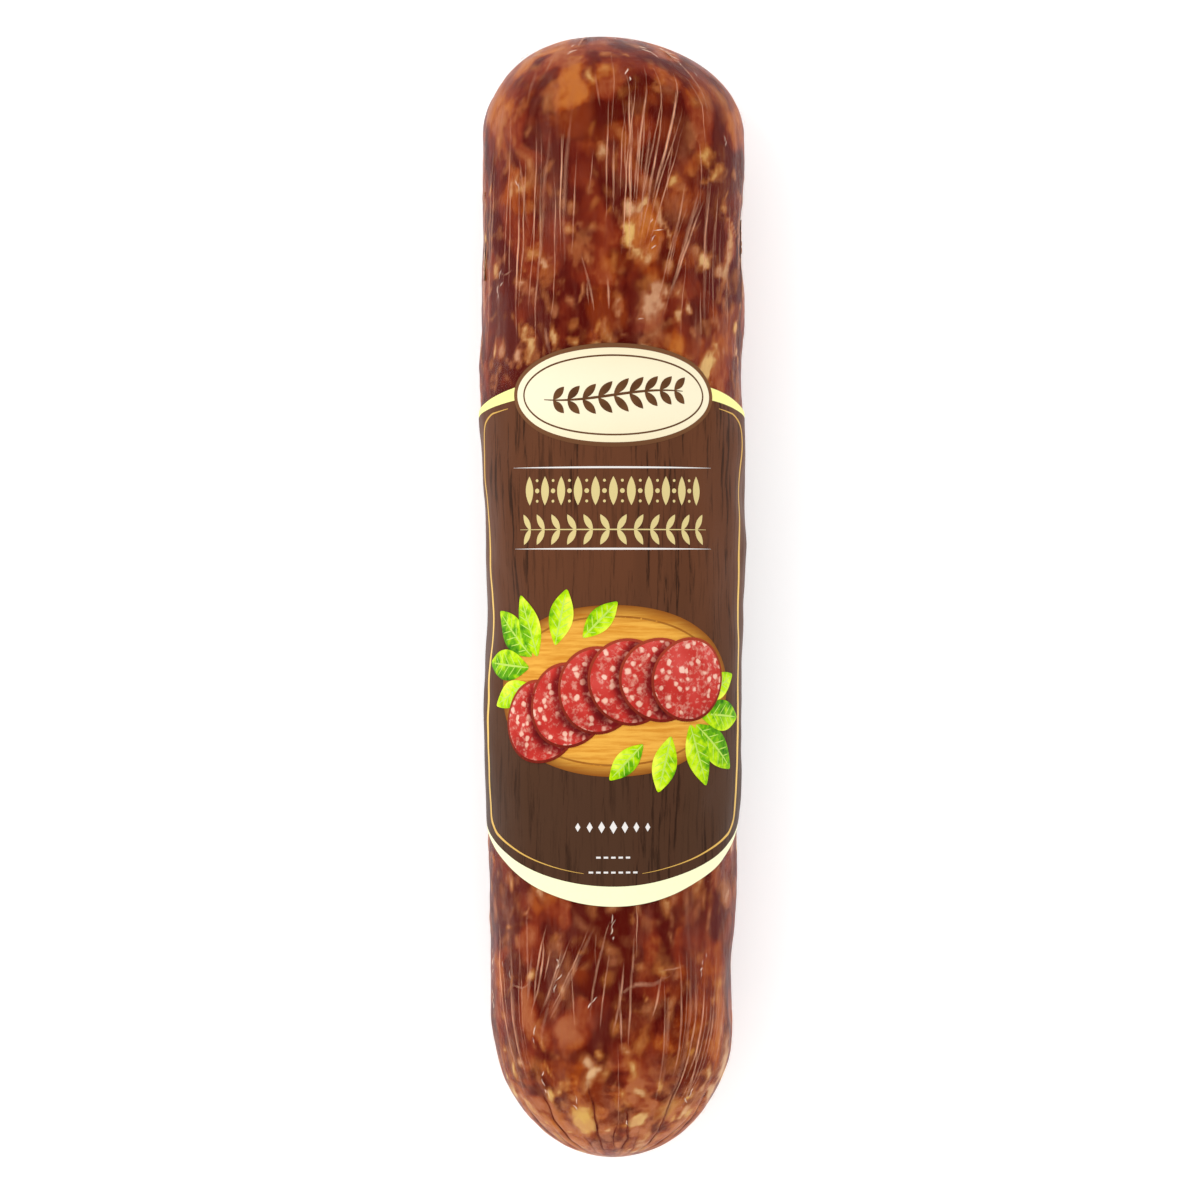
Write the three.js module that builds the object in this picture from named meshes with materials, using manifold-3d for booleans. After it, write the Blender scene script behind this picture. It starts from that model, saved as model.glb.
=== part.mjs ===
// A whole cured sausage, lying down in a clear shrink film with a printed label wrapped round it.
// Millimetres. +Y runs along the sausage to its blunt end, +X to its right and +Z up, and the
// origin is under its middle, on the surface that it lies on.

import * as THREE from "three";
import { mergeVertices } from "three/addons/utils/BufferGeometryUtils.js";
import Module from "manifold-3d";

// The wrapped sausage's own size, measured over the film.
const LENGTH = 300;
const BLUNT_RADIUS = 35.1; // at the shoulder of the blunt end
const TAPERED_RADIUS = 33.4; // at the shoulder of the tapered end
const BLUNT_CAP = 26; // how far each rounded end reaches past its shoulder
const TAPERED_CAP = 41;
const HEIGHT_RATIO = 0.97; // it sags a little under its own weight
const FLAT_DEPTH = 2; // how much of the round its flattened underside takes away

// The blunt end's tip leans to the left over this last stretch.
const TIP_LEAN = -3.4;
const TIP_LEAN_LENGTH = 17;
const TIP_LEAN_POWER = 1.6;

// The layers, from the meat outwards. Neighbours never touch.
const GAP = 0.3;
const FILM_THICKNESS = 0.3;
const LABEL_THICKNESS = 0.4;
const VENT_RADIUS = 1.5; // the film's gathered end leaves a small hole at the tapered tip

// The label, as cut flat: x across from its middle line, y along the sausage.
const LABEL_REACH = THREE.MathUtils.degToRad(153); // how far it wraps round to each side
const LABEL_BEND_RADIUS = 35;
const LABEL_TOP = 58.5;
const LABEL_BOTTOM = -80.9;
const TOP_ARCH = { height: 9.6, turnPerMm: 0.03 };
const BOTTOM_ARCH = { height: 15.2, turnPerMm: 0.037 };
const BADGE = { y: 52.9, halfWidth: 28.9, halfHeight: 13.6 };

// How finely the surfaces are stepped. The label and the film share their columns and rings.
const COLUMNS = 40;
const BODY_STEPS = 20;
const BLUNT_CAP_STEPS = 7;
const TAPERED_CAP_STEPS = 8;

const BLUNT_SHOULDER = LENGTH / 2 - BLUNT_CAP;
const TAPERED_SHOULDER = TAPERED_CAP - LENGTH / 2;
const BODY_STEP = (BLUNT_SHOULDER - TAPERED_SHOULDER) / BODY_STEPS;
const COLUMN_ANGLE = (2 * Math.PI) / COLUMNS;

// Slow swells of the filled casing: height in mm, waves around it, and mm along it for one wave.
const SWELLS = [
  { height: 0.35, around: 2, wavelength: 118, phase: 0.6 },
  { height: 0.3, around: 3, wavelength: 83, phase: 2.1 },
  { height: 0.2, around: 5, wavelength: 61, phase: 4.0 },
];

// Single bulges and dents: where each lies (angle in degrees from the top, positive to the
// right), how far it spreads and how high it stands. A dent's height is below nothing.
const BULGES = [
  { y: 25, angle: 90, spread: 34, height: 1.2 },
  { y: 60, angle: -95, spread: 42, height: 0.8 },
  { y: 120, angle: 85, spread: 12, height: 0.7 },
  { y: 97, angle: 90, spread: 11, height: -1.5 },
  { y: 26, angle: 80, spread: 10, height: -1.0 },
  { y: -8, angle: -88, spread: 13, height: -0.9 },
  { y: -62, angle: 92, spread: 20, height: -0.6 },
  { y: -101, angle: 88, spread: 12, height: -1.4 },
  { y: -118, angle: -80, spread: 14, height: -0.5 },
];

function bodyRadius(y) {
  return THREE.MathUtils.mapLinear(y, TAPERED_SHOULDER, BLUNT_SHOULDER, TAPERED_RADIUS, BLUNT_RADIUS);
}

function lumpHeight(angle, y) {
  let height = 0;
  for (const swell of SWELLS) {
    height += swell.height * Math.sin(swell.around * angle + (2 * Math.PI * y) / swell.wavelength + swell.phase);
  }
  for (const bulge of BULGES) {
    const turn = angle - THREE.MathUtils.degToRad(bulge.angle);
    const across = BLUNT_RADIUS * Math.atan2(Math.sin(turn), Math.cos(turn));
    const along = y - bulge.y;
    height += bulge.height * Math.exp(-(across ** 2 + along ** 2) / bulge.spread ** 2);
  }
  return height;
}

// Moves a point of the plain round form to its place on the lying sausage. inset is how far its
// layer is under the film's outer face: the flattened undersides of the layers nest by it.
function settledPoint(x, y, z, inset) {
  const angle = Math.atan2(x, z);
  const swelling = 1 + lumpHeight(angle, y) / BLUNT_RADIUS;
  const lean = Math.max(0, (y - (LENGTH / 2 - TIP_LEAN_LENGTH)) / TIP_LEAN_LENGTH);
  const axisHeight = bodyRadius(y) * HEIGHT_RATIO - FLAT_DEPTH;
  return new THREE.Vector3(
    x * swelling + TIP_LEAN * lean ** TIP_LEAN_POWER,
    y,
    Math.max(z * swelling * HEIGHT_RATIO + axisHeight, inset),
  );
}

// Shared corners are merged, and triangles that shrank to a line at a tip are dropped.
function closedSurface(geometry) {
  geometry.deleteAttribute("normal");
  geometry.deleteAttribute("uv");
  const merged = mergeVertices(geometry);
  const corners = [];
  for (let i = 0; i < merged.index.count; i += 3) {
    const [a, b, c] = merged.index.array.slice(i, i + 3);
    if (a !== b && b !== c && c !== a) {
      corners.push(a, b, c);
    }
  }
  merged.setIndex(corners);
  return merged;
}

// The outline of one layer from the tapered tip to the blunt tip, inset under the outer face.
function layerProfile(inset, tipRadius) {
  const points = [];
  const add = (x, y) => points.push({ x, y, inset });
  for (let step = 0; step <= TAPERED_CAP_STEPS; step++) {
    const radius = TAPERED_RADIUS - inset;
    const turn = Math.max((step / TAPERED_CAP_STEPS) * (Math.PI / 2), Math.asin(tipRadius / radius));
    add(radius * Math.sin(turn), TAPERED_SHOULDER - (TAPERED_CAP - inset) * Math.cos(turn));
  }
  for (let step = 1; step < BODY_STEPS; step++) {
    const y = TAPERED_SHOULDER + step * BODY_STEP;
    add(bodyRadius(y) - inset, y);
  }
  for (let step = BLUNT_CAP_STEPS; step >= 0; step--) {
    const turn = (step / BLUNT_CAP_STEPS) * (Math.PI / 2);
    add((BLUNT_RADIUS - inset) * Math.sin(turn), BLUNT_SHOULDER + (BLUNT_CAP - inset) * Math.cos(turn));
  }
  return points;
}

// A profile turned round the sausage's length and settled on its underside.
function settledLathe(profile) {
  const lathe = new THREE.LatheGeometry(
    profile.map((point) => new THREE.Vector2(point.x, point.y)),
    COLUMNS,
  );
  const position = lathe.attributes.position;
  for (let i = 0; i < position.count; i++) {
    const { inset } = profile[i % profile.length];
    const point = settledPoint(position.getX(i), position.getY(i), position.getZ(i), inset);
    position.setXYZ(i, point.x, point.y, point.z);
  }
  return closedSurface(lathe);
}

// Listed from the blunt tip, as the film's inner face is, so that the two have the same facets.
// That leaves the triangles facing inwards, so each is turned over.
function sausageGeometry() {
  const geometry = settledLathe(layerProfile(GAP + FILM_THICKNESS, 0).reverse());
  const corners = geometry.index.array;
  for (let i = 0; i < corners.length; i += 3) {
    [corners[i + 1], corners[i + 2]] = [corners[i + 2], corners[i + 1]];
  }
  return geometry;
}

// One wall: down its inner face from the blunt tip to the vent, and back up its outer face.
function filmGeometry() {
  const inner = layerProfile(FILM_THICKNESS, VENT_RADIUS).reverse();
  const outer = layerProfile(0, VENT_RADIUS);
  return settledLathe([...inner, ...outer]);
}

function archRise(arch, x) {
  return arch.height * (1 - Math.cos(arch.turnPerMm * x));
}

// The label's sheet with its two arched edges, a little wider than the blank it is cut from.
function labelSheetShape(halfWidth) {
  const shape = new THREE.Shape();
  const columnWidth = COLUMN_ANGLE * LABEL_BEND_RADIUS;
  const steps = Math.ceil(halfWidth / columnWidth);
  const top = [];
  const bottom = [];
  for (let step = -steps; step <= steps; step++) {
    const x = step * columnWidth;
    top.push(new THREE.Vector2(x, LABEL_TOP - archRise(TOP_ARCH, x)));
    bottom.push(new THREE.Vector2(x, LABEL_BOTTOM + archRise(BOTTOM_ARCH, x)));
  }
  shape.setFromPoints([...bottom, ...top.reverse()]);
  return shape;
}

function badgeShape() {
  const shape = new THREE.Shape();
  shape.absellipse(0, BADGE.y, BADGE.halfWidth, BADGE.halfHeight, 0, 2 * Math.PI);
  return shape;
}

function toManifold(wasm, geometry) {
  const surface = closedSurface(geometry);
  return new wasm.Manifold(
    new wasm.Mesh({
      numProp: 3,
      vertProperties: new Float32Array(surface.attributes.position.array),
      triVerts: new Uint32Array(surface.index.array),
    }),
  );
}

// Cut flat from a blank with the film's own columns and rings, then bent round the film.
function labelGeometry(wasm) {
  const halfWidth = LABEL_REACH * LABEL_BEND_RADIUS;
  const columns = Math.round((2 * LABEL_REACH) / COLUMN_ANGLE);
  const firstRing = Math.floor((LABEL_BOTTOM - TAPERED_SHOULDER) / BODY_STEP);
  const lastRing = Math.ceil((BADGE.y + BADGE.halfHeight - TAPERED_SHOULDER) / BODY_STEP);
  const rings = lastRing - firstRing;
  const height = rings * BODY_STEP;
  const blank = new THREE.BoxGeometry(2 * halfWidth, height, LABEL_THICKNESS, columns, rings, 1);
  blank.translate(0, TAPERED_SHOULDER + firstRing * BODY_STEP + height / 2, GAP + LABEL_THICKNESS / 2);

  const cutDepth = 2 * (GAP + LABEL_THICKNESS);
  const sheet = new THREE.ExtrudeGeometry(labelSheetShape(halfWidth), { depth: cutDepth, bevelEnabled: false });
  const badge = new THREE.ExtrudeGeometry(badgeShape(), {
    depth: cutDepth,
    bevelEnabled: false,
    curveSegments: 28,
  });
  const outline = toManifold(wasm, sheet).add(toManifold(wasm, badge));
  const cut = toManifold(wasm, blank).intersect(outline).getMesh();

  const bent = [];
  for (let i = 0; i < cut.vertProperties.length; i += cut.numProp) {
    const [x, y, outwards] = cut.vertProperties.slice(i, i + 3);
    const angle = x / LABEL_BEND_RADIUS;
    const radius = bodyRadius(y) + outwards;
    bent.push(...settledPoint(radius * Math.sin(angle), y, radius * Math.cos(angle), -outwards));
  }
  const geometry = new THREE.BufferGeometry();
  geometry.setAttribute("position", new THREE.Float32BufferAttribute(bent, 3));
  geometry.setIndex([...cut.triVerts]);
  return geometry;
}

const wasm = await Module();
wasm.setup();

const sausageMaterial = new THREE.MeshStandardMaterial({ color: 0x8b4b33, roughness: 0.35, metalness: 0 });
const filmMaterial = new THREE.MeshStandardMaterial({
  color: 0xf4f0ee,
  roughness: 0.1,
  metalness: 0,
  transparent: true,
  opacity: 0.15,
});
const labelMaterial = new THREE.MeshStandardMaterial({ color: 0x663f2a, roughness: 0.45, metalness: 0 });

function namedMesh(name, geometry, material) {
  const mesh = new THREE.Mesh(geometry, material);
  mesh.name = name;
  return mesh;
}

const group = new THREE.Group();
group.add(namedMesh("sausage", sausageGeometry(), sausageMaterial));
group.add(namedMesh("film", filmGeometry(), filmMaterial));
group.add(namedMesh("label", labelGeometry(wasm), labelMaterial));

// The lumps leave the middle a little off, so the whole is moved until its box stands over the origin.
const box = new THREE.Box3().setFromObject(group);
const middle = box.getCenter(new THREE.Vector3());
group.position.set(-middle.x, -middle.y, -box.min.z);

export default group;
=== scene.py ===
"""A whole cured sausage in a clear shrink film with a printed label, lying on a pale studio floor."""
import math
import random

import bmesh
import bpy
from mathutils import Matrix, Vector, noise


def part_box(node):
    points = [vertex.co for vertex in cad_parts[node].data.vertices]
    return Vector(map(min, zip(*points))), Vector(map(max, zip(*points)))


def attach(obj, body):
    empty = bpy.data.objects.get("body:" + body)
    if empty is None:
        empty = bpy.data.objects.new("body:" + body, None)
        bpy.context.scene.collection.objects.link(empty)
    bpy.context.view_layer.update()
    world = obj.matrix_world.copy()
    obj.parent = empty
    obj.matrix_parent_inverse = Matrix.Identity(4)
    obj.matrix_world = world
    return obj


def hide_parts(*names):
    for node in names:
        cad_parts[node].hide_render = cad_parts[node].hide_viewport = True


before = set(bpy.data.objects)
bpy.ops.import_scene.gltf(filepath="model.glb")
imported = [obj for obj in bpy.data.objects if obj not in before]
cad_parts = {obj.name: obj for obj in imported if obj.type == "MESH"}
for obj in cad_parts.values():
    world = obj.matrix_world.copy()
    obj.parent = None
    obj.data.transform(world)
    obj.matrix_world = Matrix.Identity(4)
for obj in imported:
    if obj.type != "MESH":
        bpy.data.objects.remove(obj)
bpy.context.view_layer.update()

# ---- The wrapped sausage's form, in millimetres, as the frame has it ----

MM = 0.001
film_low, film_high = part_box("film")
label_low, label_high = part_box("label")

HALF_LENGTH = film_high.y / MM
BLUNT_RADIUS = 35.1
TAPERED_RADIUS = 33.4
BLUNT_CAP = 26.0
TAPERED_CAP = 41.0
BLUNT_SHOULDER = HALF_LENGTH - BLUNT_CAP
TAPERED_SHOULDER = TAPERED_CAP - HALF_LENGTH
HEIGHT_RATIO = 0.97
FLAT_DEPTH = 2.0
TIP_LEAN = -3.4
TIP_LEAN_LENGTH = 17.0
TIP_LEAN_POWER = 1.6
FLOOR_HEIGHT = film_low.z / MM

# How far each layer stands out from the frame's outer film face.
MEAT_OUT = -0.35
FOLD_LIP_OUT = -0.64
FILM_OUT = -0.02

# Height in mm, waves around, mm along for one wave, and phase.
SWELLS = [(0.35, 2, 118, 0.6), (0.3, 3, 83, 2.1), (0.2, 5, 61, 4.0)]

# y, degrees from the top towards the right, spread and height of single bulges and dents.
BULGES = [
    (25, 90, 34, 1.2),
    (60, -95, 42, 0.8),
    (120, 85, 12, 0.7),
    (97, 90, 11, -1.5),
    (26, 80, 10, -1.0),
    (-8, -88, 13, -0.9),
    (-62, 92, 20, -0.6),
    (-101, 88, 12, -1.4),
    (-118, -80, 14, -0.5),
]


def body_radius(y):
    share = (y - TAPERED_SHOULDER) / (BLUNT_SHOULDER - TAPERED_SHOULDER)
    return TAPERED_RADIUS + share * (BLUNT_RADIUS - TAPERED_RADIUS)


def turn_between(angle, other):
    return math.atan2(math.sin(angle - other), math.cos(angle - other))


def lump_height(angle, y):
    height = 0.0
    for swell, around, wavelength, phase in SWELLS:
        height += swell * math.sin(around * angle + 2 * math.pi * y / wavelength + phase)
    for bulge_y, degrees, spread, bulge in BULGES:
        across = BLUNT_RADIUS * turn_between(angle, math.radians(degrees))
        along = y - bulge_y
        height += bulge * math.exp(-(across * across + along * along) / spread ** 2)
    place = Vector((BLUNT_RADIUS * math.sin(angle), y, BLUNT_RADIUS * math.cos(angle)))
    height += 0.55 * noise.noise(place / 13) + 0.16 * noise.noise(place / 6.5)
    return height


def settled(plain, out):
    """The place on the lying sausage, in metres, of a point of the plain round form."""
    angle = math.atan2(plain.x, plain.z)
    swelling = 1 + lump_height(angle, plain.y) / BLUNT_RADIUS
    lean = max(0.0, (plain.y - (HALF_LENGTH - TIP_LEAN_LENGTH)) / TIP_LEAN_LENGTH)
    axis_height = body_radius(plain.y) * HEIGHT_RATIO - FLAT_DEPTH
    height = max(plain.z * swelling * HEIGHT_RATIO + axis_height, -out)
    x = plain.x * swelling + TIP_LEAN * lean ** TIP_LEAN_POWER
    return Vector((x, plain.y, height + FLOOR_HEIGHT)) * MM


def outline_point(along, out):
    """Radius and y of the plain form at an arc length along its side, from 0 at the tapered tip."""
    for radius, cap, shoulder, side in (
        (TAPERED_RADIUS, TAPERED_CAP, TAPERED_SHOULDER, -1),
        (BLUNT_RADIUS, BLUNT_CAP, BLUNT_SHOULDER, 1),
    ):
        arcs = CAP_ARCS[side]
        from_tip = along if side < 0 else OUTLINE_LENGTH - along
        if from_tip < arcs[-1]:
            step = next(i for i, arc in enumerate(arcs) if arc > from_tip)
            share = (from_tip - arcs[step - 1]) / (arcs[step] - arcs[step - 1])
            turn = (step - 1 + share) / CAP_ARC_STEPS * math.pi / 2
            return (radius + out) * math.sin(turn), shoulder + side * (cap + out) * math.cos(turn)
    y = TAPERED_SHOULDER + along - CAP_ARCS[-1][-1]
    return body_radius(y) + out, y


CAP_ARC_STEPS = 48


def cap_arcs(radius, cap):
    """Arc length from the tip of a half-ellipse end to each of its equal turns."""
    arcs = [0.0]
    for step in range(1, CAP_ARC_STEPS + 1):
        before, after = ((step - 1) * math.pi / 2 / CAP_ARC_STEPS, step * math.pi / 2 / CAP_ARC_STEPS)
        across = radius * (math.sin(after) - math.sin(before))
        along = cap * (math.cos(before) - math.cos(after))
        arcs.append(arcs[-1] + math.hypot(across, along))
    return arcs


CAP_ARCS = {-1: cap_arcs(TAPERED_RADIUS, TAPERED_CAP), 1: cap_arcs(BLUNT_RADIUS, BLUNT_CAP)}
OUTLINE_LENGTH = CAP_ARCS[-1][-1] + BLUNT_SHOULDER - TAPERED_SHOULDER + CAP_ARCS[1][-1]


def skin_point(angle, along, out):
    """The place in metres at an angle from the top and an arc length along the side."""
    radius, y = outline_point(along, out)
    return settled(Vector((radius * math.sin(angle), y, radius * math.cos(angle))), out)


# ---- Making pieces ----

def pour(part, bm):
    """Adds all of one bmesh to another and frees it."""
    mesh = bpy.data.meshes.new("part")
    part.to_mesh(mesh)
    part.free()
    bm.from_mesh(mesh)
    bpy.data.meshes.remove(mesh)


def new_object(name, data):
    thing = bpy.data.objects.new(name, data)
    bpy.context.scene.collection.objects.link(thing)
    return thing


def mesh_object(name, bm, material, smooth):
    mesh = bpy.data.meshes.new(name)
    bm.to_mesh(mesh)
    bm.free()
    if smooth:
        mesh.shade_smooth()
    mesh.materials.append(material)
    return new_object(name, mesh)


def finish_piece(name, bm, material, smooth=True):
    """Makes the bmesh an object that rides on the body and takes its finish from a slot."""
    piece = mesh_object(name, bm, material, smooth)
    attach(piece, "root")
    return piece


def spun_skin(out, columns, rings):
    """A closed skin round the whole sausage, still plain and round."""
    bm = bmesh.new()
    profile = []
    for ring in range(rings + 1):
        radius, y = outline_point(ring / rings * OUTLINE_LENGTH, out)
        if ring in (0, rings):
            radius = 0.0
        profile.append(bm.verts.new((0.0, y, radius)))
    edges = [bm.edges.new(pair) for pair in zip(profile, profile[1:])]
    bmesh.ops.spin(
        bm, geom=profile + edges, cent=(0, 0, 0), axis=(0, 1, 0),
        angle=2 * math.pi, steps=columns, use_merge=True, use_duplicate=False,
    )
    bmesh.ops.remove_doubles(bm, verts=bm.verts, dist=1e-4)
    bmesh.ops.recalc_face_normals(bm, faces=bm.faces)
    return bm


def wrap_round_map(bm):
    """The UV map that the pattern is kept on: once round by once along."""
    layer = bm.loops.layers.uv.new("OFBake")
    for face in bm.faces:
        middle = face.calc_center_median()
        face_angle = math.atan2(middle.x, -middle.z)
        for loop in face.loops:
            co = loop.vert.co
            if math.hypot(co.x, co.z) < 1e-3:
                angle = face_angle
            else:
                angle = face_angle + turn_between(math.atan2(co.x, -co.z), face_angle)
            along = 0.5 + 0.5 * (co.y / HALF_LENGTH)
            loop[layer].uv = (0.004 + 0.992 * (angle / (2 * math.pi) + 0.5), 0.004 + 0.992 * along)


# ---- Materials ----

def colour(red, green, blue):
    """A display colour, 0 to 255, as the shader wants it."""
    def linear(value):
        value /= 255
        return value / 12.92 if value <= 0.04045 else ((value + 0.055) / 1.055) ** 2.4
    return (linear(red), linear(green), linear(blue), 1.0)


class Recipe:
    """A material and short calls that add to its node tree. Lengths in patterns are in mm."""

    def __init__(self, name, **shader):
        self.material = bpy.data.materials.new(name)
        self.material.use_nodes = True
        self.tree = self.material.node_tree
        self.shader = self.tree.nodes["Principled BSDF"]
        for socket, value in shader.items():
            self.shader.inputs[socket.replace("_", " ")].default_value = value

    def node(self, kind, sockets=None, **settings):
        node = self.tree.nodes.new("ShaderNode" + kind)
        for setting, value in settings.items():
            setattr(node, setting, value)
        for socket, value in (sockets or {}).items():
            self.put(node.inputs[socket], value)
        return node

    def put(self, socket, value):
        if isinstance(value, bpy.types.NodeSocket):
            self.tree.links.new(value, socket)
        else:
            socket.default_value = value

    def set(self, socket, value):
        self.put(self.shader.inputs[socket], value)

    def where(self, stretch=(1, 1, 1), move=(0, 0, 0)):
        """The place on the object in mm, with each direction's pattern stretched."""
        place = self.node("TexCoord").outputs["Object"]
        scale = [1000 / along for along in stretch]
        return self.node("Mapping", {"Vector": place, "Scale": scale, "Location": move}).outputs["Vector"]

    def maths(self, operation, first, second=0.0, third=0.0):
        return self.node("Math", {0: first, 1: second, 2: third}, operation=operation).outputs[0]

    def sway(self, value, pattern, strength):
        """The value moved up and down by a pattern that runs from 0 to 1."""
        return self.maths("MULTIPLY_ADD", self.maths("SUBTRACT", pattern, 0.5), strength, value)

    def vector(self, operation, first, second=(0, 0, 0), scale=1.0):
        node = self.node("VectorMath", {0: first, 1: second}, operation=operation)
        if operation == "SCALE":
            self.put(node.inputs["Scale"], scale)
        return node.outputs[0]

    def noise(self, place, size, detail=3.0, roughness=0.5, output="Fac"):
        sockets = {"Vector": place, "Scale": 1 / size, "Detail": detail, "Roughness": roughness}
        return self.node("TexNoise", sockets).outputs[output]

    def cells(self, place, size):
        return self.node("TexVoronoi", {"Vector": place, "Scale": 1 / size}).outputs

    def band(self, value, low, high, out_low=0.0, out_high=1.0):
        """0 to 1 smoothly as value goes from low to high."""
        sockets = {
            "Value": value, "From Min": low, "From Max": high, "To Min": out_low, "To Max": out_high,
        }
        return self.node("MapRange", sockets, interpolation_type="SMOOTHSTEP").outputs["Result"]

    def blend(self, share, first, second, mode="MIX"):
        node = self.node("Mix", data_type="RGBA", blend_type=mode)
        self.put(node.inputs[0], share)
        self.put(node.inputs[6], first)
        self.put(node.inputs[7], second)
        return node.outputs[2]

    def ramp(self, value, *stops):
        """Stops are a position and a display colour: (position, red, green, blue)."""
        node = self.node("ValToRGB", {"Fac": value})
        elements = node.color_ramp.elements
        while len(elements) < len(stops):
            elements.new(1.0)
        for element, (place, *shade) in zip(elements, stops):
            element.position = place
            element.color = colour(*shade)
        return node.outputs["Color"]

    def split(self, shade):
        return self.node("SeparateColor", {"Color": shade}).outputs

    def attribute(self, name, output="Fac"):
        return self.node("Attribute", attribute_name=name).outputs[output]

    def bump(self, height, distance, strength=1.0):
        sockets = {"Height": height, "Distance": distance * MM, "Strength": strength}
        return self.node("Bump", sockets).outputs["Normal"]


def warped(recipe, place, size, reach):
    """The place pushed about by a slow noise, so that nothing in a pattern runs straight."""
    push = recipe.noise(place, size, 2.0, 0.5, "Color")
    push = recipe.vector("SUBTRACT", push, (0.5, 0.5, 0.5))
    return recipe.vector("ADD", place, recipe.vector("SCALE", push, scale=reach))


def meat_material():
    """Coarse-ground cured meat seen through its casing: lean, amber and fat run softly together."""
    r = Recipe("cured meat", Roughness=0.34, IOR=1.4, Specular_IOR_Level=0.08)
    place = warped(r, r.where(stretch=(1, 1.5, 1)), 2.6, 1.5)
    fine = r.noise(place, 1.3, 4.0, 0.6)
    fibre = r.noise(warped(r, r.where(stretch=(1, 6, 1), move=(2, 9, 4)), 5, 1.2), 0.8, 3.0, 0.6)
    mottle = r.noise(place, 3.4, 3.0, 0.55)

    # Lean meat, from maroon through red-brown to tan.
    tone = r.sway(r.sway(r.sway(r.attribute("tone"), fine, 0.42), mottle, 0.65), fibre, 0.16)
    lean = r.ramp(
        tone,
        (0.10, 84, 10, 2),
        (0.32, 106, 27, 9),
        (0.56, 126, 40, 15),
        (0.76, 147, 64, 31),
        (1.00, 170, 94, 56),
    )
    # Amber stretches, where the fat has run into the casing.
    amber = r.sway(r.attribute("amber"), mottle, 0.5)
    amber_shade = r.ramp(
        r.sway(tone, fine, 0.7),
        (0.1, 126, 42, 6), (0.5, 160, 70, 15), (1.0, 190, 108, 40),
    )
    body = r.blend(r.band(amber, 0.1, 0.9, 0.0, 0.9), lean, amber_shade)

    # Fat, whiter in the middle of a piece than at its blurred edge.
    soft = r.sway(r.sway(r.attribute("fat"), fine, 0.34), mottle, 0.3)
    edge_shade = r.blend(r.attribute("fat_tint"), colour(170, 100, 62), colour(184, 106, 40))
    core_shade = r.ramp(
        r.attribute("fat_tint"),
        (0.0, 206, 154, 118),
        (0.35, 220, 178, 130),
        (0.7, 224, 184, 112),
        (1.0, 216, 168, 78),
    )
    body = r.blend(r.band(soft, 0.0, 0.62, 0.0, 0.72), body, edge_shade)
    body = r.blend(r.band(soft, 0.42, 1.05, 0.0, 0.92), body, core_shade)

    # The casing's own greyish veil, drawn out along the sausage.
    veil = r.noise(r.where(stretch=(1, 4, 1), move=(9, 2, 6)), 5.5, 4.0, 0.65)
    body = r.blend(r.band(veil, 0.48, 0.8, 0.0, 0.28), body, colour(152, 90, 68))
    # Paler casing near the tapered tip, and painted shade darkening the folds of the casing.
    along = r.node("SeparateXYZ", {"Vector": r.where()}).outputs["Y"]
    tip = r.maths("MULTIPLY", r.band(along, -122, -146), r.band(mottle, 0.40, 0.62, 0.1, 0.55))
    body = r.blend(tip, body, colour(196, 126, 88))
    body = r.blend(r.band(r.attribute("fold"), 0.2, 1.0, 0.0, 0.6), body, colour(96, 24, 10))
    r.set("Base Color", body)
    r.set("Roughness", r.band(veil, 0.3, 0.8, 0.30, 0.46))
    r.set("Normal", r.bump(r.maths("MULTIPLY_ADD", fine, 0.5, fibre), 0.12, 0.8))
    r.set("Subsurface Weight", 0.08)
    r.set("Subsurface Radius", (1.0, 0.35, 0.2))
    r.set("Subsurface Scale", 0.0012)
    return r.material


def fold_lip_shade_material():
    """The edge of a fold in the casing: the casing's red, darkened with painted shade from the groove it
    stands in.
    """
    r = Recipe("casing fold painted shade", Roughness=0.5, IOR=1.4, Specular_IOR_Level=0.05)
    along = r.noise(r.where(stretch=(1, 4, 1)), 1.8, 3.0, 0.6)
    r.set("Base Color", r.blend(r.band(along, 0.35, 0.65), colour(84, 20, 8), colour(128, 52, 30)))
    return r.material


def film_material():
    """Clear shrink film: almost nothing but its shine, with long hazy streaks of painted sheen that stand
    in for its reflections.
    """
    r = Recipe("clear film", Roughness=0.16, IOR=1.6)
    # The base colour is the painted sheen, let in through the alpha only in the bands of reflection.
    r.set("Base Color", colour(222, 158, 130))
    streak = r.noise(warped(r, r.where(stretch=(1, 12, 1)), 8, 1.5), 1.6, 4.0, 0.65)
    patch = r.noise(r.where(stretch=(1, 2.2, 1), move=(3, 8, 1)), 14, 2.0, 0.5)
    painted_sheen = r.maths("MULTIPLY", r.band(streak, 0.40, 0.66, 0.25, 1.0), r.attribute("painted_sheen"))
    painted_sheen = r.maths("MULTIPLY", painted_sheen, r.band(patch, 0.35, 0.6))
    r.set("Alpha", r.maths("MULTIPLY_ADD", painted_sheen, 0.11, 0.004))
    return r.material


def crease_highlight_material():
    """A ridge where the film is folded on itself, pale with a painted highlight where it would catch the
    light.
    """
    r = Recipe("film crease painted highlight", Roughness=0.3, IOR=1.5, Specular_IOR_Level=0.0)
    r.set("Base Color", colour(255, 186, 148))
    along = r.noise(r.where(stretch=(1, 4, 1)), 2.2, 3.0, 0.6)
    r.set("Alpha", r.maths("MULTIPLY", r.attribute("crest"), r.band(along, 0.3, 0.7, 0.25, 1.0)))
    return r.material


def painted_glint_material():
    """The tiny crinkles where the film turns sharply to the light, their glints painted in as pale
    colour.
    """
    r = Recipe("film painted glint", Roughness=0.2, IOR=1.5, Specular_IOR_Level=0.1)
    r.set("Base Color", colour(255, 222, 198))
    wrinkle = r.band(r.noise(r.where(), 0.9, 2.0, 0.6), 0.25, 0.5, 0.4, 1.0)
    r.set("Alpha", r.maths("MULTIPLY", wrinkle, r.band(r.attribute("crest"), 0.0, 0.7)))
    return r.material


# ---- The sausage and its film ----

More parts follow.
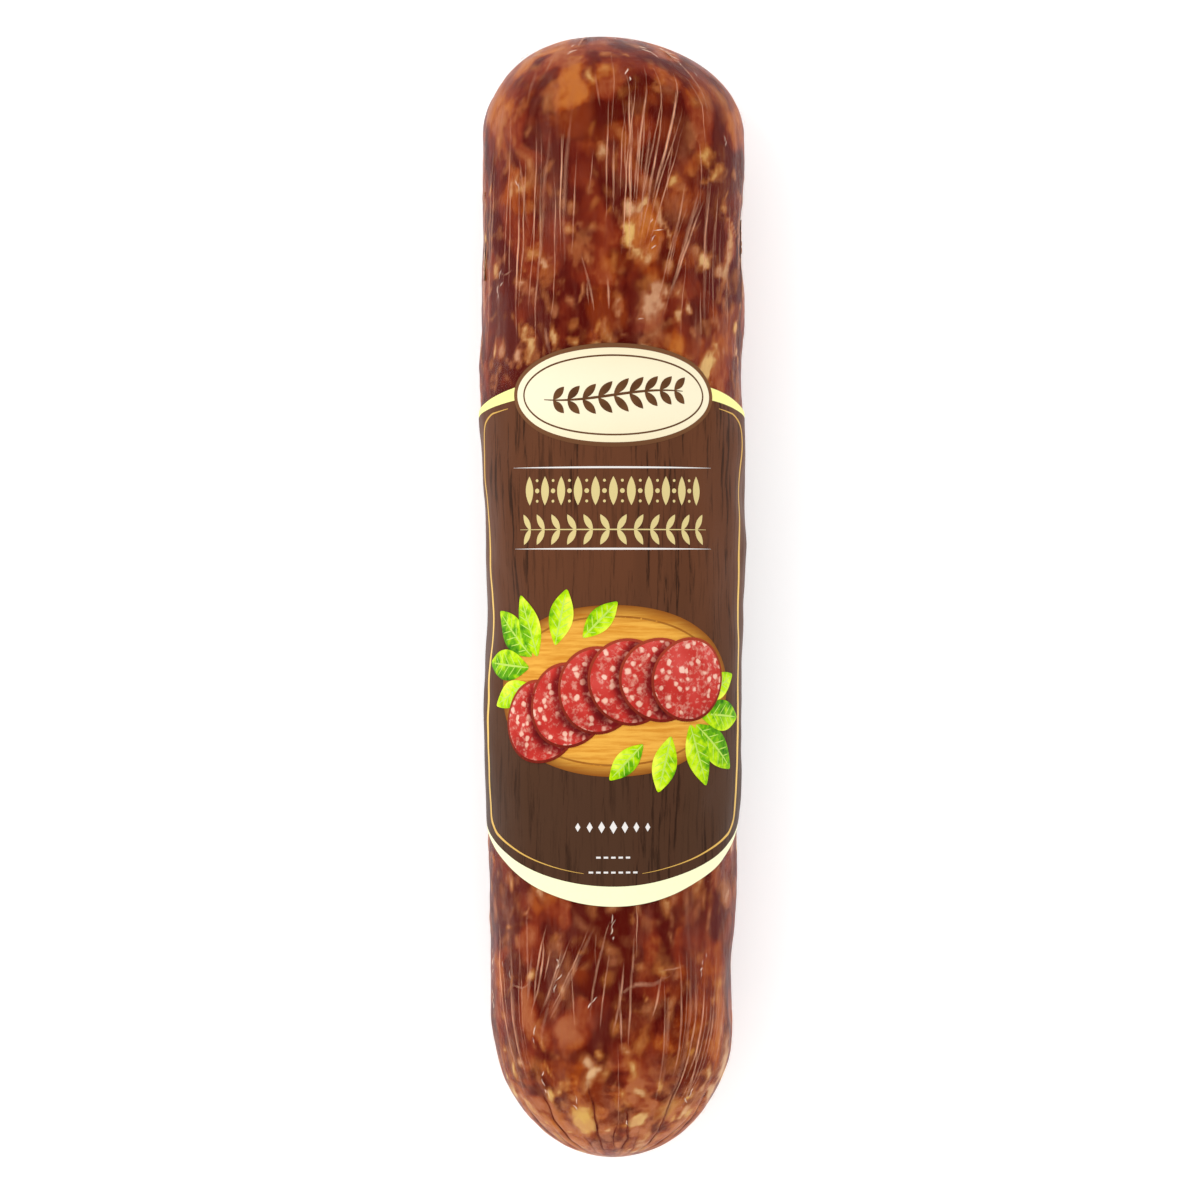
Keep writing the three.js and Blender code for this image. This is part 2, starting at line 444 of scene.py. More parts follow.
# Folds of the casing gathered at each end: degrees round from the top, where the fold starts
# and how long it runs (mm from the tip), how deep it is, and how far it leans (degrees).
TAPERED_FOLDS = [
    (-86, 6, 24, 0.4, 5), (-70, 5, 32, 0.5, 8), (-55, 3, 27, 0.4, 6),
    (-42, 6, 36, 0.5, -4), (-27, 4, 22, 0.4, 5), (-14, 3, 42, 0.5, 4),
    (1, 5, 27, 0.4, 3), (11, 4, 35, 0.5, -4), (25, 3, 24, 0.4, -5),
    (38, 6, 38, 0.5, -4), (53, 4, 26, 0.4, 6), (68, 4, 34, 0.5, -7),
    (92, 5, 26, 0.4, 5), (118, 4, 32, 0.5, -6), (147, 5, 28, 0.4, 5),
    (172, 4, 30, 0.5, 4), (-160, 5, 26, 0.4, -5), (-131, 4, 34, 0.5, 6),
    (-108, 5, 28, 0.4, -4),
]
BLUNT_FOLDS = [
    (-80, 2, 17, 0.4, 7), (-47, 2, 14, 0.4, -6), (-20, 2, 20, 0.5, 8),
    (4, 2, 24, 0.5, 5), (28, 2, 18, 0.5, -9), (50, 2, 21, 0.5, 8),
    (77, 2, 15, 0.4, -5), (110, 2, 19, 0.4, 6), (142, 2, 16, 0.4, -7),
    (175, 2, 20, 0.5, 5), (-148, 2, 17, 0.4, 6), (-113, 2, 20, 0.4, -6),
]
FOLD_WIDTH = 1.5
FOLD_SPREAD = 0.62  # of the width
FOLD_RELIEF = 1.1


def fold_middle(degrees, lean, share):
    """The degrees from the top of a fold's middle at a share of its length."""
    wander = 1.5 * math.sin(share * 7 + degrees) + 3.0 * noise.noise(Vector((share * 8, degrees, 0)))
    return degrees + lean * share ** 2 + wander


def fold_share(angle, from_tip, radius, folds):
    """How deep in a fold a place is, in mm."""
    deepest = 0.0
    for degrees, start, length, depth, lean in folds:
        share = (from_tip - start) / length
        if not 0 < share < 1:
            continue
        across = radius * turn_between(angle, math.radians(fold_middle(degrees, lean, share)))
        fade = math.sin(math.pi * share ** 0.7) ** 0.7
        deepest = max(deepest, depth * fade * math.exp(-((across / (FOLD_WIDTH * FOLD_SPREAD)) ** 2)))
    return deepest


def smooth_step(value, low, high):
    share = min(1.0, max(0.0, (value - low) / (high - low)))
    return share * share * (3 - 2 * share)


def cell_draws(point):
    """Three even random numbers that belong to one cell of a pattern."""
    return [noise.cell(point * 61.7 + Vector((shift, 0, 0))) for shift in (0.0, 137.5, 291.25)]


# Fat pieces: cell size in mm, stretch along the sausage, share of cells that are fat, and the
# least and most of a piece's half-width in cells.
FAT_SIZES = [(9.4, 1.6, 0.26, 0.22, 0.44), (6.4, 1.5, 0.30, 0.28, 0.50), (3.8, 1.3, 0.15, 0.34, 0.55)]
FAT_HALF_LENGTH = 0.62

# y, degrees from the top, spread and extra share of places where fat crowds together.
FAT_CROWDS = [
    (76, 5, 28, 0.8), (72, 84, 28, 1.4), (104, -66, 18, 1.0), (-118, -30, 22, 0.5),
    (-126, 40, 22, 0.7), (92, 170, 40, 0.5), (-96, -150, 36, 0.5),
]


# noise.noise_vector changes from run to run, so a push is made of three plain noises instead.
PUSH_SHIFTS = (Vector((31.4, 7.7, 2.3)), Vector((-12.9, 44.1, 9.2)), Vector((5.6, -21.8, 37.5)))


def noise_push(place):
    return Vector([noise.noise(place + shift) for shift in PUSH_SHIFTS])


# Where the pattern changes from none of something to all of it, in mm from the middle.
ENDS_ZONE = (85, 140)
CRUMPLE_ZONE = (HALF_LENGTH - 34, HALF_LENGTH - 16)
PALE_ZONE = (HALF_LENGTH - 44, HALF_LENGTH)
TIP_ZONE = (114, 134)
TAPERED_BLUR_ZONE = (55, 95)
BLUNT_BLUR_ZONE = (98, 120)

# Chunks of lean: size in mm, stretch along the sausage, and how softly one meets the next.
CHUNK_SIZE, CHUNK_STRETCH, CHUNK_BLUR = 6.5, 1.5, 0.09


def meat_pattern(plain):
    """Tone of the lean, amber staining, fat and the fat's tint, each about 0 to 1, at a place."""
    pushed = plain + 2.8 * noise_push(plain / 9) + 0.8 * noise_push(plain / 3.6)
    place = Vector((pushed.x, pushed.y / CHUNK_STRETCH, pushed.z)) / CHUNK_SIZE
    distances, points = noise.voronoi(place)
    weights = [math.exp((distances[0] - distance) / CHUNK_BLUR) for distance in distances]
    draws = [cell_draws(point) for point in points]
    chunk, warm = (
        sum(weight * draw[which] for weight, draw in zip(weights, draws)) / sum(weights)
        for which in (0, 1)
    )
    drift = noise.fractal(plain / 15, 1.0, 2.0, 3)
    tone = 0.48 + 0.40 * drift + 0.58 * (chunk - 0.5)
    crumple = smooth_step(-plain.y, *CRUMPLE_ZONE)
    if crumple:
        tone += crumple * (0.36 + 0.75 * noise.noise(Vector((plain.x / 4, plain.y / 1.3, plain.z / 4))))
    tone += 0.24 * smooth_step(plain.y, *PALE_ZONE)

    amber = noise.fractal(plain / 14 + Vector((40, 7, 3)), 1.0, 2.0, 2)
    ends = smooth_step(abs(plain.y), *ENDS_ZONE) * (1.0 if plain.y > 0 else 1.7)
    amber = smooth_step(amber + 0.3 * ends, -0.05, 0.6) + 0.5 * (warm - 0.5)

    angle = math.atan2(plain.x, plain.z)
    round_way = Vector((math.cos(angle), 0, -math.sin(angle)))
    outwards = Vector((math.sin(angle), 0, math.cos(angle)))
    fat, tint = 0.0, 0.5
    ragged = 0.42 * noise.noise(plain / 2.1) + 0.25 * noise.noise(plain / 1.1 + Vector((9, 4, 2)))
    # Towards both ends the pieces blur into broad soft stains, but for the very tapered tip.
    tip = smooth_step(-plain.y, *TIP_ZONE)
    blur = smooth_step(-plain.y, *TAPERED_BLUR_ZONE) * (1 - 0.7 * tip)
    blur += 0.85 * smooth_step(plain.y, *BLUNT_BLUR_ZONE)
    gathered = ends if plain.y < 0 else -0.6 * ends
    calm, softness = 1 - 0.18 * blur + 0.15 * tip, 1 + 0.5 * blur
    ragged *= 1 - 0.4 * blur
    crowd = 1 + 0.45 * gathered
    for crowd_y, degrees, spread, extra in FAT_CROWDS:
        across = BLUNT_RADIUS * turn_between(angle, math.radians(degrees))
        crowd += extra * math.exp(-(across ** 2 + (plain.y - crowd_y) ** 2) / spread ** 2)
    for number, (size, stretch, share_fat, narrow, wide) in enumerate(FAT_SIZES):
        place = Vector((pushed.x, pushed.y / stretch, pushed.z)) / size + Vector((0, 0, 20 * number))
        for point in noise.voronoi(place)[1]:
            kind, chance, slant = cell_draws(point)
            if chance > share_fat * crowd * (1 - 0.6 * blur * (number == 2)):
                continue
            offset = place - point
            across, along = offset.dot(round_way), offset.y
            lean = (slant - 0.5) * 1.7
            half_width = narrow + kind * (wide - narrow)
            reach = math.sqrt(
                ((across * math.cos(lean) + along * math.sin(lean)) / half_width) ** 2
                + ((along * math.cos(lean) - across * math.sin(lean)) / FAT_HALF_LENGTH) ** 2
                + (offset.dot(outwards) / (half_width + 0.12)) ** 2
            )
            reach += ragged
            strength = 0.30 + 0.10 * gathered + 0.72 * ((kind * 7.3 + slant * 3.1) % 1) ** 2.2
            here = strength * calm * smooth_step(1 - reach, -0.28 * softness, 0.66 * softness)
            if here > fat:
                fat, tint = here, (kind + slant * 5.7) % 1
    return tone, amber, fat, min(1.0, tint * 0.75 + 0.16 * ends)


MEAT_COLUMNS, MEAT_RINGS = 292, 338
FILM_COLUMNS, FILM_RINGS = 240, 250
PATTERNS = ("fold", "tone", "amber", "fat", "fat_tint")


def make_meat(material):
    bm = spun_skin(MEAT_OUT, MEAT_COLUMNS, MEAT_RINGS)
    wrap_round_map(bm)
    layers = [bm.verts.layers.float.new(name) for name in PATTERNS]
    for vert in bm.verts:
        plain = vert.co.copy()
        radius = math.hypot(plain.x, plain.z)
        angle = math.atan2(plain.x, plain.z)
        depth = 0.0
        if plain.y < TAPERED_SHOULDER:
            from_tip = math.hypot(radius, plain.y + HALF_LENGTH)
            depth = fold_share(angle, from_tip, radius, TAPERED_FOLDS)
        elif plain.y > BLUNT_SHOULDER - 4:
            from_tip = math.hypot(radius, HALF_LENGTH - plain.y)
            depth = fold_share(angle, from_tip, radius, BLUNT_FOLDS)
        tone, amber, fat, tint = meat_pattern(plain)
        # The fold value drives only the painted shade in the folds; the other patterns are the meat's own
        # colour.
        for layer, value in zip(layers, (min(1.0, depth / 0.6), tone, amber, fat, tint)):
            vert[layer] = value
        grain = 0.10 * noise.noise(plain / 2.6) + 0.14 * fat - 0.04
        inwards = FOLD_RELIEF * depth - grain
        shrink = 1 - inwards / max(radius, 6.0)
        plain.x *= shrink
        plain.z *= shrink
        vert.co = settled(plain, MEAT_OUT)
    piece = finish_piece("sausage_meat", bm, material)
    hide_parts("sausage")


# Bands of painted sheen on the film, standing in for its reflections: degrees from the top, and
# half-width in degrees.
PAINTED_SHEEN_BANDS = [(-58, 6), (-28, 6), (38, 3.5), (66, 5), (110, 8), (160, 7), (-150, 8), (-105, 6)]


def make_film(material):
    bm = spun_skin(FILM_OUT, FILM_COLUMNS, FILM_RINGS)
    wrap_round_map(bm)
    painted_sheen_layer = bm.verts.layers.float.new("painted_sheen")
    for vert in bm.verts:
        plain = vert.co.copy()
        angle = math.atan2(plain.x, plain.z) + 0.10 * noise.noise(plain / 30)
        # How much painted sheen, standing in for reflections, each place of the film gets.
        painted_sheen = 0.08
        for degrees, half_width in PAINTED_SHEEN_BANDS:
            across = math.degrees(turn_between(angle, math.radians(degrees)))
            painted_sheen += math.exp(-(across / half_width) ** 2)
        vert[painted_sheen_layer] = min(1.0, painted_sheen)
        radius = max(math.hypot(plain.x, plain.z), 6.0)
        ripple = 1 - abs(noise.noise(Vector((plain.x / 4, plain.y / 45, plain.z / 4)))) * 3
        rise = 0.05 * max(0.0, ripple)
        plain.x *= 1 + rise / radius
        plain.z *= 1 + rise / radius
        vert.co = settled(plain, FILM_OUT)
    piece = finish_piece("shrink_film", bm, material)
    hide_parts("film")


# Fans of tension lines pulled into the film. Each fan spreads from one end to the other: the
# middle's degrees and y at each end, the spread in degrees at each end, and how many lines.
FANS = [
    ((24, 141), (9, 86), 34, 9, 13),
    ((6, 138), (3, 78), 16, 12, 7),
    ((-38, 136), (-44, 60), 20, 26, 9),
    ((-20, 132), (-24, 84), 10, 14, 5),
    ((40, 112), (16, 66), 14, 6, 6),
    ((52, 118), (48, 62), 16, 20, 6),
    ((-12, 92), (-6, 66), 10, 6, 3),
    ((-22, -84), (-38, -112), 30, 12, 9),
    ((4, -84), (-4, -120), 10, 16, 4),
    ((36, -88), (30, -140), 26, 12, 8),
    ((-56, -82), (-50, -132), 18, 10, 6),
    ((62, -84), (40, -144), 16, 8, 6),
    ((-70, 130), (-74, 58), 16, 14, 6),
    ((78, 120), (76, 60), 14, 14, 5),
]


# Creases across the film: from and to degrees, y and width.
CROSS_CREASES = [
    (2, 26, -103.0, 1.8), (20, 36, -98.5, 0.8), (-64, -48, 84, 0.8),
    (96, 128, 92, 1.4), (-140, -112, -96, 1.4), (150, 178, -110, 1.8), (-58, -40, -104, 0.8),
]


def along_at(y):
    """Arc length along the side at a y on the straight part, or reached by the cap's turn."""
    low, high = 0.0, OUTLINE_LENGTH
    for _ in range(30):
        middle = (low + high) / 2
        if outline_point(middle, 0)[1] < y:
            low = middle
        else:
            high = middle
    return low


# A ridge's cross-section: its crest, a shoulder on each side, and a root sunk in the meat.
SHOULDER_UP = math.cos(2 * math.pi / 5)
SHOULDER_ACROSS = math.sin(2 * math.pi / 5)
ROOT_OUT = -1.2


def ridge_blank(steps):
    """A closed five-sided bar along its Z, cut into equal steps, that creases are bent from."""
    bm = bmesh.new()
    bmesh.ops.create_cone(bm, cap_ends=True, segments=5, radius1=1, radius2=1, depth=1)
    for step in range(1, steps):
        bmesh.ops.bisect_plane(
            bm, geom=bm.verts[:] + bm.edges[:] + bm.faces[:],
            plane_co=(0, 0, step / steps - 0.5), plane_no=(0, 0, 1),
        )
    # Bending the bar round the film mirrors it, so it starts out turned inside out.
    bmesh.ops.recalc_face_normals(bm, faces=bm.faces[:])
    bmesh.ops.reverse_faces(bm, faces=bm.faces[:])
    return bm


def add_ridge(bm, blank, route, width, height, out=0.0, strength=1.0):
    """Adds a copy of the blank, bent along route(share) -> (degrees, mm along the side)."""
    copy = blank.copy()
    crest = copy.verts.layers.float.new("crest")
    for vert in copy.verts:
        share = vert.co.z + 0.5
        degrees, along = route(share)
        ahead_degrees, ahead = route(share + 0.01)
        radius = max(outline_point(along, 0)[0], 1.0)
        step_across = radius * math.radians(ahead_degrees - degrees)
        step_along = ahead - along
        length = math.hypot(step_across, step_along) or 1.0
        side = (step_along / length, -step_across / length)
        thin = max(0.06, math.sin(math.pi * min(1.0, max(0.0, share))) ** 0.6)
        across = vert.co.x / SHOULDER_ACROSS * width / 2 * thin
        angle = math.radians(degrees) + across * side[0] / radius
        peak = max(0.0, (vert.co.y - SHOULDER_UP) / (1 - SHOULDER_UP))
        vert[crest] = strength * peak * thin
        rise = out + peak * height * thin if vert.co.y > 0 else ROOT_OUT
        vert.co = skin_point(angle, along + across * side[1], rise)
    pour(copy, bm)


LABEL_COVERS = 155  # degrees either side of the top, with a little to spare
LOOSE_LINES = 190
GLINT_CHAINS = 105


def under_label(degrees, y):
    return label_low.y / MM - 3 < y < label_high.y / MM and abs(degrees) < LABEL_COVERS


def make_creases(material):
    draw = random.Random(41)
    long_blank, short_blank = ridge_blank(20), ridge_blank(9)
    bm = bmesh.new()
    bm.verts.layers.float.new("crest")
    for (start_degrees, start_y), (end_degrees, end_y), start_spread, end_spread, count in FANS:
        start_along, end_along = along_at(start_y), along_at(end_y)
        for number in range(count):
            side = (number + draw.uniform(-0.35, 0.35)) / max(1, count - 1) - 0.5
            first = start_degrees + side * start_spread
            last = end_degrees + side * end_spread * draw.uniform(0.3, 1.2)
            cut_start, cut_end = draw.uniform(0, 0.35), draw.uniform(0.6, 1.0)
            bend, wobble, phase = draw.uniform(-3, 3), draw.uniform(0.2, 0.9), draw.uniform(0, 6)
            width, height = draw.choice((0.4, 0.5, 0.6, 0.9, 1.8)), draw.uniform(0.06, 0.12)
            strength = draw.uniform(0.5, 1.0) * (0.4 if width > 1 else 1.0)

            def route(share):
                place = cut_start + share * (cut_end - cut_start)
                degrees = first + place * (last - first) + bend * math.sin(math.pi * place)
                run = place * (end_along - start_along)
                degrees += wobble * noise.noise(Vector((phase * 9, run / 7, number)))
                return degrees, start_along + run

            add_ridge(bm, long_blank, route, width, height, strength=strength)
    # Loose single lines all round, most of them nearly straight along the sausage.
    for _ in range(LOOSE_LINES):
        degrees = draw.uniform(-180, 180)
        along = draw.uniform(14, OUTLINE_LENGTH - 12)
        length = draw.uniform(8, 30)
        slant = draw.gauss(0, 3)
        if under_label(degrees, outline_point(along + length / 2, 0)[1]):
            continue
        wobble, phase = draw.uniform(0.3, 1.2), draw.uniform(0, 6)
        width, height = draw.choice((0.35, 0.5, 0.8, 1.6)), draw.uniform(0.05, 0.10)
        strength = draw.uniform(0.3, 0.8) * (0.4 if width > 1 else 1.0)

        def route(share):
            spot = along + share * length
            wander = wobble * noise.noise(Vector((phase * 9, spot / 6, 3)))
            return degrees + slant * share + wander, min(spot, OUTLINE_LENGTH - 5)

        add_ridge(bm, short_blank, route, width, height, strength=strength)
    # Short creases that run across.
    for from_degrees, to_degrees, y, width in CROSS_CREASES:
        along = along_at(y)

        def route(share):
            degrees = from_degrees + share * (to_degrees - from_degrees)
            slant = 0.14 * (degrees - from_degrees)
            return degrees, along + slant + 1.4 * noise.noise(Vector((degrees / 7, y, 0)))

        add_ridge(bm, short_blank, route, width, 0.1, strength=0.4)
    long_blank.free()
    short_blank.free()
    # The ridges are real folds; their pale colour is a painted highlight.
    finish_piece("film_creases", bm, material)


def make_fold_lips(material):
    """The thin edges of the gathered casing, standing up in its folds and dark with painted shade."""
    blank = ridge_blank(14)
    bm = bmesh.new()
    bm.verts.layers.float.new("crest")
    for folds, from_tapered in ((TAPERED_FOLDS, True), (BLUNT_FOLDS, False)):
        for degrees, start, length, depth, lean in folds:

            def route(share):
                from_tip = start + share * length
                along = from_tip if from_tapered else OUTLINE_LENGTH - from_tip
                return fold_middle(degrees, lean, share), along

            add_ridge(bm, blank, route, 1.1 * depth, 0.14, FOLD_LIP_OUT)
    blank.free()
    finish_piece("casing_folds", bm, material)


def make_glints(material):
    draw = random.Random(7)
    blank = ridge_blank(6)
    bm = bmesh.new()
    bm.verts.layers.float.new("crest")
    for _ in range(GLINT_CHAINS):
        degrees, along = draw.uniform(-170, 170), draw.uniform(24, OUTLINE_LENGTH - 14)
        if under_label(degrees, outline_point(along, 0)[1]):
            continue
        heading = draw.gauss(0, 0.35)
        for _ in range(draw.choice((1, 2, 3, 4))):
            length, crook, phase = draw.uniform(1.2, 3.6), draw.uniform(0.1, 0.4), draw.uniform(0, 6)
            turn = heading + draw.gauss(0, 0.4)
            radius = max(6.0, outline_point(along, 0)[0])

            def route(share):
                aside = length * share * math.sin(turn) + crook * math.sin(5 * share + phase)
                return degrees + math.degrees(aside / radius), along + length * share * math.cos(turn)

            add_ridge(bm, blank, route, draw.uniform(0.24, 0.55), draw.uniform(0.10, 0.2), 0.02,
                      draw.uniform(0.5, 1.0))
            degrees += draw.gauss(0, 0.9)
            along += length * draw.uniform(0.5, 1.2)
    blank.free()
    finish_piece("film_glints", bm, material)


# ---- The label: flat pieces, x across from its middle and y along, bent round the film ----

LABEL_BEND_RADIUS = 35.0
LABEL_HALF_WIDTH = math.radians(153) * LABEL_BEND_RADIUS
LABEL_TOP = 58.5
LABEL_BOTTOM = label_low.y / MM
PANEL_TOP = 54.0
PANEL_BOTTOM = -75.7
TOP_TURN = 0.030  # radians of the arch's wave for each mm across
BOTTOM_TURN = 0.037
BADGE_Y = 52.9
BADGE_HALF_WIDTH = 28.9
BADGE_HALF_HEIGHT = label_high.y / MM - BADGE_Y

# Heights over the frame's outer film face. The print is a stack of very thin layers.
SHEET_UNDER, SHEET_TOP = 0.08, 0.22
PRINT_UNDER = 0.16
PANEL_INK_TOP = 0.245
FRAME_INK_TOP = 0.27
BOARD_INK_TOP, GROOVE_INK_TOP = 0.30, 0.325
ORNAMENT_INK_TOP = 0.31
BADGE_UNDER, BADGE_RIM_TOP, BADGE_FIELD_TOP, RING_INK_TOP, SPRIG_INK_TOP = 0.10, 0.31, 0.34, 0.37, 0.38
LEAF_INK_TOP, SLICE_INK_TOP = 0.345, 0.49
LEAF_STEP_UP, SLICE_STEP_UP = 0.024, 0.036
LAYER_SHIFT = 40  # sets the patterns of one layer apart from the next


def arch(turn, x):
    return 1 - math.cos(turn * x)


def sheet_top(x):
    return LABEL_TOP - 9.6 * arch(TOP_TURN, x)


def sheet_bottom(x):
    return LABEL_BOTTOM + 15.2 * arch(BOTTOM_TURN, x)


def panel_top(x):
    return min(PANEL_TOP - 6.3 * arch(TOP_TURN, x), sheet_top(x) - 0.4)


def panel_bottom(x):
    return max(PANEL_BOTTOM + 11.6 * arch(BOTTOM_TURN, x), sheet_bottom(x) + 0.4)


class Print:
    """One thin printed layer, gathered flat from shapes and then bent round the film."""

    def __init__(self):
        self.bm = bmesh.new()
        self.bm.verts.layers.float.new("shade")
        self.bm.verts.layers.float_vector.new("print")

    def take(self, flat, top, under, shade=None):
        """Gives a flat sheet its thickness and adds it. shade(x, y) is its printed light, 0 to 1."""
        bmesh.ops.recalc_face_normals(flat, faces=flat.faces)
        if flat.faces and sum(face.normal.z for face in flat.faces) < 0:
            bmesh.ops.reverse_faces(flat, faces=flat.faces[:])
        for vert in flat.verts:
            vert.co.z = top
        bmesh.ops.solidify(flat, geom=flat.faces[:], thickness=top - under)
        shade_layer = flat.verts.layers.float.new("shade")
        place_layer = flat.verts.layers.float_vector.new("print")
        for vert in flat.verts:
            vert[shade_layer] = shade(vert.co.x, vert.co.y) if shade else 0.5
            vert[place_layer] = Vector((vert.co.x, vert.co.y, top * LAYER_SHIFT))
        pour(flat, self.bm)

    def shape(self, outline, top, shade=None, cell=1.5, under=PRINT_UNDER):
        """A closed outline of (x, y) points, cut into cells small enough to bend."""
        flat = bmesh.new()
        flat.faces.new([flat.verts.new((x, y, 0)) for x, y in outline])
        bmesh.ops.triangulate(flat, faces=flat.faces[:])
        for axis in (0, 1):
            places = [point[axis] for point in outline]
            step = cell if axis == 0 else cell * 1.6
            cut = math.ceil(min(places) / step) * step
            while cut < max(places):
                normal = (1, 0, 0) if axis == 0 else (0, 1, 0)
                bmesh.ops.bisect_plane(
                    flat, geom=flat.verts[:] + flat.edges[:] + flat.faces[:],
                    dist=1e-5, plane_co=[cut * part for part in normal], plane_no=normal,
                )
                cut += step
        bmesh.ops.triangulate(flat, faces=flat.faces[:])
        self.take(flat, top, under, shade)

    def strip(self, low, high, half_width, top, columns, rows, under=PRINT_UNDER):
        """A sheet between two edges given as functions of x."""
        flat = bmesh.new()
        bmesh.ops.create_grid(flat, x_segments=columns, y_segments=rows, size=1)
        for vert in flat.verts:
            x = vert.co.x * half_width
            share = (vert.co.y + 1) / 2
            vert.co = Vector((x, low(x) + share * (high(x) - low(x)), 0))
        self.take(flat, top, under)

    def stroke(self, points, width, top, shade=None, taper=0.0, widen=False):
        """A line along points. taper thins its ends, and widen keeps it as broad from above."""
        flat = bmesh.new()
        last = len(points) - 1
        bmesh.ops.create_grid(flat, x_segments=1, y_segments=last, size=1)
        for vert in flat.verts:
            side, number = vert.co.x, round((vert.co.y + 1) / 2 * last)
            x, y = points[number]
            before, after = points[max(0, number - 1)], points[min(last, number + 1)]
            run = math.hypot(after[0] - before[0], after[1] - before[1]) or 1.0
            half = width / 2 / (math.cos(x / LABEL_BEND_RADIUS) if widen else 1)
            if taper:
                half *= 1 - (1 - taper) * abs(2 * number / last - 1) ** 2.2
            across, up = (before[1] - after[1]) / run, (after[0] - before[0]) / run
            vert.co = Vector((x + side * half * across, y + side * half * up, 0))
        self.take(flat, top, PRINT_UNDER, shade)

    def finish(self, name, material):
        for vert in self.bm.verts:
            angle = vert.co.x / LABEL_BEND_RADIUS
            radius = body_radius(vert.co.y) + vert.co.z
            plain = Vector((radius * math.sin(angle), vert.co.y, radius * math.cos(angle)))
            vert.co = settled(plain, vert.co.z)
        return finish_piece(name, self.bm, material, smooth=False)


def tilted(x, y, across, up, tilt):
    """A point beside (x, y), turned round it by tilt degrees."""
    turned = math.radians(tilt)
    return (
        x + across * math.cos(turned) - up * math.sin(turned),
        y + across * math.sin(turned) + up * math.cos(turned),
    )


def ellipse(x, y, half_width, half_height, tilt=0.0, count=72):
    points = []
    for number in range(count):
        angle = 2 * math.pi * number / count
        across, up = half_width * math.cos(angle), half_height * math.sin(angle)
        points.append(tilted(x, y, across, up, tilt))
    return points


def smooth_outline(corners, per_span=8, closed=True):
    """A smooth curve through the corners."""
    points = []
    count = len(corners)

    def corner(number):
        return corners[number % count if closed else min(count - 1, max(0, number))]

    for number in range(count if closed else count - 1):
        a, b, c, d = (corner(number + shift) for shift in (-1, 0, 1, 2))
        for step in range(per_span):
            t = step / per_span
            points.append(tuple(
                0.5 * (2 * q + (r - p) * t + (2 * p - 5 * q + 4 * r - s) * t ** 2
                       + (3 * q - p - 3 * r + s) * t ** 3)
                for p, q, r, s in zip(a, b, c, d)
            ))
    if not closed:
        points.append(corners[-1])
    return points


LEAF_STEPS = 9
LEAF_FULLNESS = 0.85


def leaf_lens(x, y, length, width, tilt):
    """A pointed leaf shape round its middle, tilted in degrees from upright."""
    points = []
    for side in (1, -1):
        for number in range(LEAF_STEPS):
            share = number / LEAF_STEPS
            along = (share - 0.5) * length * side
            across = side * width / 2 * math.sin(math.pi * share) ** LEAF_FULLNESS
            points.append(tilted(x, y, across, along, tilt))
    return points


def print_recipe(name):
    """A printed finish that reads the layer's flat place and its printed light."""
    r = Recipe(name, Roughness=0.42, IOR=1.42, Specular_IOR_Level=0.06)
    r.flat = r.attribute("print", "Vector")
    r.shade = r.attribute("shade")
    return r


def cream_material():
    r = print_recipe("label cream")
    up = r.band(r.node("SeparateXYZ", {"Vector": r.flat}).outputs["Y"], -60, 40)
    grain = r.noise(r.flat, 0.7, 2.0, 0.6)
    cream = r.blend(up, colour(255, 255, 208), colour(255, 252, 160))
    r.set("Base Color", r.blend(r.band(grain, 0.3, 0.8, 0.0, 0.08), cream, colour(246, 234, 160)))
    return r.material


def wood_material():
    """The panel's printed dark boards: close grain drawn out along the sausage."""
    r = print_recipe("label wood print")
    along = r.node("Mapping", {"Vector": r.flat, "Scale": (1, 0.06, 1)}).outputs["Vector"]
    grain = r.noise(r.vector("ADD", along, (3, 0, 0)), 1.2, 5.0, 0.7)
    broad = r.noise(r.vector("ADD", along, (17, 5, 0)), 7, 2.0, 0.5)
    low = r.band(r.node("SeparateXYZ", {"Vector": r.flat}).outputs["Y"], 20, -60)
    base = r.blend(low, colour(104, 62, 40), colour(80, 53, 37))
    base = r.blend(r.band(broad, 0.4, 0.7, 0.0, 0.3), base, colour(80, 48, 32))
    lines = r.maths("MULTIPLY", r.band(grain, 0.50, 0.64), r.band(broad, 0.36, 0.6, 0.25, 0.85))
    r.set("Base Color", r.blend(lines, base, colour(48, 29, 19)))
    r.set("Roughness", r.band(grain, 0.3, 0.8, 0.36, 0.48))
    return r.material


INK_ROUGHNESS = 0.36


def plain_ink(name, dark, light, mottling=0.15):
    """A printed ink that goes from dark to light with its shade, faintly mottled."""
    r = print_recipe(name)
    mottle = r.sway(r.shade, r.noise(r.flat, 0.9, 3.0, 0.6), mottling)
    r.set("Base Color", r.blend(mottle, dark, light))
    r.set("Roughness", INK_ROUGHNESS)
    return r.material


def slice_material():
    """Printed slices of sausage: red lean with grains of pale fat."""
    r = print_recipe("printed slices")
    place = warped(r, r.flat, 1.6, 1.2)
    marble = r.noise(place, 1.5, 4.0, 0.62)
    grains = r.cells(place, 1.9)
    chosen = r.band(r.split(grains["Color"])["Red"], 0.50, 0.60)
    grain = r.maths("MULTIPLY", r.band(grains["Distance"], 0.52, 0.26), chosen)
    lean = r.ramp(
        r.shade, (0.0, 58, 10, 10), (0.25, 128, 22, 24),
        (0.5, 196, 52, 44), (0.75, 222, 88, 80), (1.0, 236, 140, 132),
    )
    fat = r.ramp(
        r.shade, (0.0, 104, 52, 44), (0.25, 190, 118, 100),
        (0.5, 244, 196, 172), (0.75, 252, 220, 204), (1.0, 255, 240, 230),
    )
    lean = r.blend(r.band(marble, 0.48, 0.70, 0.0, 0.45), lean, fat)
    r.set("Base Color", r.blend(r.maths("MULTIPLY", grain, 0.92), lean, fat))
    return r.material


